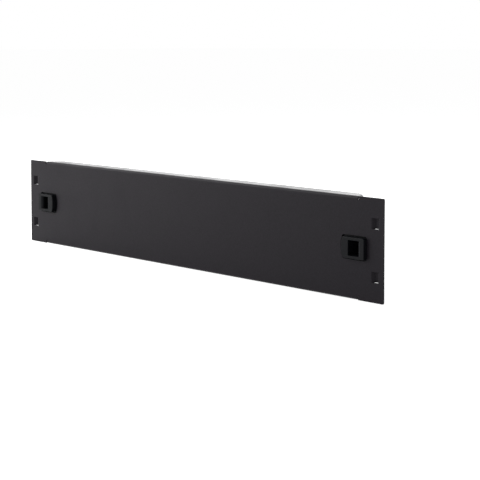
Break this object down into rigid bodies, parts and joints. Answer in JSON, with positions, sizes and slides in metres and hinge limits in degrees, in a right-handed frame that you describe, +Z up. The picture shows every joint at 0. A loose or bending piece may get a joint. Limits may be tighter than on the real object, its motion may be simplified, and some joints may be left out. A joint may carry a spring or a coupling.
{
  "type": "rack blanking panel",
  "caption": "Tool-less blanking panel that closes two units of a 19-inch rack: folded sheet with lanced locating lugs and a sprung slide latch at each end.",
  "frame": {"origin": "middle of the panel, on the plane of its rear face that seats on the front of the rack's rails", "axes": "+X along the panel to the right seen from the front, +Y into the rack, +Z up; the front faces -Y"},
  "size_m": [0.4826, 0.0198, 0.087],
  "materials": {
    "powder_coat": "fine-textured black powder coat",
    "latch_plastic": "moulded black nylon, fine spark texture",
    "spring_steel": "drawn spring wire",
    "zinc_plate": "bright zinc plate",
    "stud_steel": "plated weld stud",
    "nut_steel": "bright zinc plate"
  },
  "bodies": {
    "panel_assembly": {"panel": "powder_coat", "return_spring_right": "spring_steel", "keeper_right": "zinc_plate", "weld_studs_right": "stud_steel", "nuts_right": "nut_steel", "return_spring_left": "spring_steel", "keeper_left": "zinc_plate", "weld_studs_left": "stud_steel", "nuts_left": "nut_steel"},
    "right_latch": {"latch_right": "latch_plastic"},
    "left_latch": {"latch_left": "latch_plastic"}
  },
  "joints": [
    {"name": "right_latch_slide", "type": "slide", "parent": "panel_assembly", "child": "right_latch", "axis": [-1, 0, 0], "range_m": [0, 0.0028], "stiffness_N_per_m": 350, "springref_m": -0.0055, "deforming": ["return_spring_right"]},
    {"name": "left_latch_slide", "type": "slide", "parent": "panel_assembly", "child": "left_latch", "axis": [1, 0, 0], "range_m": [0, 0.0028], "stiffness_N_per_m": 350, "springref_m": -0.0055, "deforming": ["return_spring_left"]}
  ]
}
